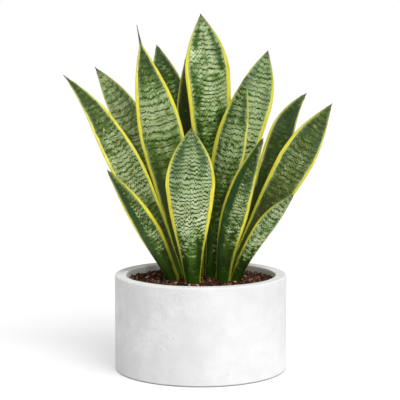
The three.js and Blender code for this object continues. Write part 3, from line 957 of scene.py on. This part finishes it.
def crumb_finish():
    finish, tree, shader = new_finish("crumb_finish")
    tint = step(tree, "ShaderNodeAttribute", {"attribute_name": "tint"})
    share = Flow(tree, tint.outputs["Fac"])
    where = Arrow(tree, step(tree, "ShaderNodeTexCoord").outputs["Object"])
    rough = grain(tree, where, 1400.0, 3.0, 0.7)
    colour = blend(tree, share.ramp(0.0, 0.55), PEAT_BLACK, PEAT_BROWN)
    colour = blend(tree, share.ramp(0.55, 0.9), colour, BARK_BROWN)
    colour = blend(tree, share.ramp(0.93, 0.99), colour, BARK_PALE)
    colour = blend(tree, rough.ramp(0.45, 0.75) * 0.4, colour, CREVICE_BROWN)
    feed(tree, colour, shader.inputs["Base Color"])
    feed(tree, 0.8 + rough * 0.2, shader.inputs["Roughness"])
    raise_surface(tree, shader, rough, 0.4 * MM)
    shader.inputs["Specular IOR Level"].default_value = 0.13
    return finish


CRUMB_FINISH = crumb_finish()
print("crumb finish:", len(CRUMB_FINISH.node_tree.nodes), "nodes")

# %% Lumpy bed under the crumbs
BED_RINGS = 44
BED_STEPS = 160
BED_DROP = 2.0 * MM
SWELL_HEIGHT = 1.6
CLOD_HEIGHT = 0.8


def bed_height(x, y):
    """Height of the bed's top: slow swells with smaller clods on them."""
    swell = noise.noise(Vector((x * 55, y * 55, 3.0)))
    clods = noise.noise(Vector((x * 170, y * 170, 8.0)))
    return SOIL_TOP - BED_DROP + (swell * SWELL_HEIGHT + clods * CLOD_HEIGHT) * MM


def soil_bed():
    shape = bmesh.new()
    rings = []
    for r in range(1, BED_RINGS + 1):
        radius = SOIL_RADIUS * r / BED_RINGS
        turns = [2 * math.pi * k / BED_STEPS for k in range(BED_STEPS)]
        circle = [(radius * math.cos(a), radius * math.sin(a)) for a in turns]
        rings.append([shape.verts.new((x, y, bed_height(x, y))) for x, y in circle])
    rings.append([shape.verts.new((v.co.x, v.co.y, SOIL_FLOOR + INNER_FILLET)) for v in rings[-1]])
    foot = (SOIL_RADIUS - INNER_FILLET) / SOIL_RADIUS
    rings.append([shape.verts.new((v.co.x * foot, v.co.y * foot, SOIL_FLOOR)) for v in rings[-1]])
    centre = shape.verts.new((0, 0, bed_height(0, 0)))
    for k in range(BED_STEPS):
        after = (k + 1) % BED_STEPS
        shape.faces.new((centre, rings[0][k], rings[0][after]))
        for inner, outer in zip(rings, rings[1:]):
            shape.faces.new((inner[k], outer[k], outer[after], inner[after]))
    shape.faces.new(reversed(rings[-1]))
    bmesh.ops.recalc_face_normals(shape, faces=shape.faces)
    mesh = bpy.data.meshes.new("soil_bed")
    shape.to_mesh(mesh)
    shape.free()
    mesh.materials.append(CRUMB_FINISH)
    piece = bpy.data.objects.new("soil_bed", mesh)
    bpy.context.scene.collection.objects.link(piece)
    return piece


bed = soil_bed()
bed.data.shade_smooth()
settle(bed, "potting_mix", "potting_mix")
print("bed:", len(bed.data.polygons), "faces")

# %% The tree that strews crumbs
NO_TURN = (0.0, 0.0, 0.0)
ANY_TURN = (6.28, 6.28, 6.28)
FLATTEST = (0.65, 0.65, 0.5)
LONGEST = (1.25, 1.0, 0.9)


def drawn_number(tree, seed):
    """A random number from 0 to 1 for each crumb."""
    made = step(tree, "FunctionNodeRandomValue", {"data_type": "FLOAT"}, Seed=seed)
    feed(tree, 0.0, made.inputs[2])
    feed(tree, 1.0, made.inputs[3])
    return Flow(tree, made.outputs[1])


def drawn_arrow(tree, seed, least, most):
    """A random vector for each crumb, between two corners."""
    made = step(tree, "FunctionNodeRandomValue", {"data_type": "FLOAT_VECTOR"}, Seed=seed)
    feed(tree, least, made.inputs[0])
    feed(tree, most, made.inputs[1])
    return Arrow(tree, made.outputs[0])


def crumb_tree():
    """Crumbs on the bed: inputs are their number per square metre, size range, sink and seed."""
    tree, given = new_tree("strew_crumbs", (), ("Density", "Smallest", "Largest", "Sink", "Reach", "Seed"))
    ground = step(tree, "GeometryNodeObjectInfo", {"transform_space": "RELATIVE"}, Object=bed)
    seat = Arrow(tree, tree.nodes.new("GeometryNodeInputPosition").outputs[0])
    facing = Arrow(tree, tree.nodes.new("GeometryNodeInputNormal").outputs[0])
    x, y, _ = seat.parts()
    outward = (x * x + y * y).math("SQRT")
    top = facing.parts()[2].math("GREATER_THAN", 0.3) * outward.math("LESS_THAN", given["Reach"])
    spots = step(tree, "GeometryNodeDistributePointsOnFaces", {"distribute_method": "RANDOM"},
                 Mesh=Flow(tree, ground.outputs["Geometry"]), Selection=top, Density=given["Density"],
                 Seed=given["Seed"])

    # One dented lump, put on every spot at a random size, turn and squash
    lump = step(tree, "GeometryNodeMeshIcoSphere", Radius=1.0, Subdivisions=1)
    dent = grain(tree, seat + join(tree, given["Seed"], 0.0, 0.0), 1.1, 1.0) - 0.5
    dented = step(tree, "GeometryNodeSetPosition", Geometry=Flow(tree, lump.outputs[0]),
                  Offset=seat * (dent * 1.5))
    luck = drawn_number(tree, given["Seed"])
    size = given["Smallest"] + (given["Largest"] - given["Smallest"]) * luck ** 2.2
    spin = drawn_arrow(tree, given["Seed"] + 5.0, NO_TURN, ANY_TURN)
    squash = drawn_arrow(tree, given["Seed"] + 9.0, FLATTEST, LONGEST)
    placed = step(tree, "GeometryNodeInstanceOnPoints", Points=Flow(tree, spots.outputs["Points"]),
                  Instance=Flow(tree, dented.outputs[0]), Rotation=spin, Scale=squash * size)
    lowered = step(tree, "GeometryNodeTranslateInstances", Instances=Flow(tree, placed.outputs[0]),
                   Translation=join(tree, 0.0, 0.0, size * given["Sink"]), Local_Space=False)
    shade = drawn_number(tree, given["Seed"] + 12.0)
    tinted = store(tree, Flow(tree, lowered.outputs[0]), "tint", shade, "FLOAT", "INSTANCE")
    finish_tree(tree, tinted, CRUMB_FINISH)
    return tree


CRUMB_TREE = crumb_tree()
print("crumb tree:", len(CRUMB_TREE.nodes), "nodes")

# %% Strew the crumbs
CRUMB_SIZES = [
    ("soil_fines", 110000, 0.5, 1.3, 0.1),
    ("soil_crumbs", 60000, 1.0, 2.4, 0.25),
    ("soil_lumps", 6500, 2.0, 3.6, 0.2),
]
for seed, (name, density, smallest, largest, sink) in enumerate(CRUMB_SIZES, start=3):
    crumbs = piece_from_tree(name, CRUMB_TREE, {
        "Density": float(density), "Smallest": smallest * MM, "Largest": largest * MM,
        "Sink": sink, "Reach": SOIL_RADIUS - largest * MM * 0.7, "Seed": float(seed),
    })
    settle(crumbs, "potting_mix")
    print(f"{name}: {len(crumbs.data.polygons)} faces")

# %% [markdown]
# ## Rhizome
#
# The rhizome and its roots lie hidden in the mix. The frame's own solid has the right shape, so it stays
# and only gets a finish: pale ochre flesh with brown rings and root hairs.

# %% Rhizome finish
OCHRE = paint("#b98d55")
PALE_OCHRE = paint("#d8b988")
ROOT_BROWN = paint("#6e4a2b")


def rhizome_finish():
    finish, tree, shader = new_finish("rhizome_finish")
    where = Arrow(tree, step(tree, "ShaderNodeTexCoord").outputs["Object"])
    skin = grain(tree, where, 160.0, 3.0, 0.6)
    fibre = grain(tree, where.vector_math("MULTIPLY", (1.0, 1.0, 0.3)), 700.0, 2.0, 0.6)
    colour = blend(tree, skin.ramp(0.35, 0.65), OCHRE, PALE_OCHRE)
    colour = blend(tree, fibre.ramp(0.5, 0.75) * 0.5, colour, ROOT_BROWN)
    feed(tree, colour, shader.inputs["Base Color"])
    feed(tree, 0.6 + skin * 0.2, shader.inputs["Roughness"])
    raise_surface(tree, shader, fibre, 0.3 * MM)
    return finish


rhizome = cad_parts["rhizome"]
rhizome.data.materials.clear()
rhizome.data.materials.append(rhizome_finish())
print("rhizome finished")

# %% [markdown]
# ## Studio
#
# The plant stands on a wide pale floor. A broad light high on the right models the leaves. Soft light comes
# from all round: the air is bright near the horizon, so the backdrop looks white, and dimmer overhead, so
# the gaps between the leaves stay dark. The camera is far away with a long lens, a little above the rim, so
# the pot's sides stay straight.

# %% Floor
FLOOR_HALF = 12.0
FLOOR_GREY = 0.47
FLOOR_GLOW = 0.5


def studio_floor():
    mesh = bpy.data.meshes.new("studio_floor")
    corners = [(-FLOOR_HALF, -FLOOR_HALF, 0), (FLOOR_HALF, -FLOOR_HALF, 0),
               (FLOOR_HALF, FLOOR_HALF, 0), (-FLOOR_HALF, FLOOR_HALF, 0)]
    mesh.from_pydata(corners, [], [(0, 1, 2, 3)])
    floor = bpy.data.objects.new("studio_floor", mesh)
    bpy.context.scene.collection.objects.link(floor)
    finish, _, shader = new_finish("studio_white")
    shader.inputs["Base Color"].default_value = (FLOOR_GREY, FLOOR_GREY, FLOOR_GREY, 1)
    shader.inputs["Roughness"].default_value = 1.0
    shader.inputs["Specular IOR Level"].default_value = 0.0
    shader.inputs["Emission Color"].default_value = (1, 1, 1, 1)
    shader.inputs["Emission Strength"].default_value = FLOOR_GLOW
    mesh.materials.append(finish)


studio_floor()
print("floor laid")

# %% Lights
KEY_PLACE = Vector((1.7, -2.25, 3.8))
KEY_STRENGTH = 2.88
KEY_SPREAD = 38
OVERHEAD_DIMMING = 0.57
key = bpy.data.lights.new("key_light", "SUN")
key.energy = KEY_STRENGTH
key.angle = math.radians(KEY_SPREAD)
key_holder = bpy.data.objects.new("key_light", key)
key_holder.location = KEY_PLACE
key_holder.rotation_euler = KEY_PLACE.to_track_quat("Z", "Y").to_euler()
bpy.context.scene.collection.objects.link(key_holder)

world = bpy.data.worlds.new("studio_air")
world.use_nodes = True
bpy.context.scene.world = world
sky = world.node_tree
air = sky.nodes["Background"]
upward = Arrow(sky, step(sky, "ShaderNodeTexCoord").outputs["Generated"]).parts()[2]
feed(sky, 1.0 - upward.ramp(0.05, 0.2) * OVERHEAD_DIMMING, air.inputs["Strength"])
air.inputs["Color"].default_value = (1, 1, 1, 1)
bpy.context.scene.view_settings.view_transform = "Standard"
print("one broad soft light and the studio's air")

# %% Camera
CAMERA_PLACE = (-0.0007, -1.528, 0.3603)
CAMERA_PITCH = -6.1
LENS = 119.25
SENSOR_WIDTH = 36

lens = bpy.data.cameras.new("camera")
lens.lens = LENS
lens.sensor_width = SENSOR_WIDTH
camera = bpy.data.objects.new("camera", lens)
camera.location = CAMERA_PLACE
camera.rotation_euler = (math.radians(90 + CAMERA_PITCH), 0, 0)
bpy.context.scene.collection.objects.link(camera)
bpy.context.scene.camera = camera
print(f"camera {-camera.location.y:.2f} m away, {camera.location.z / MM:.0f} mm high")
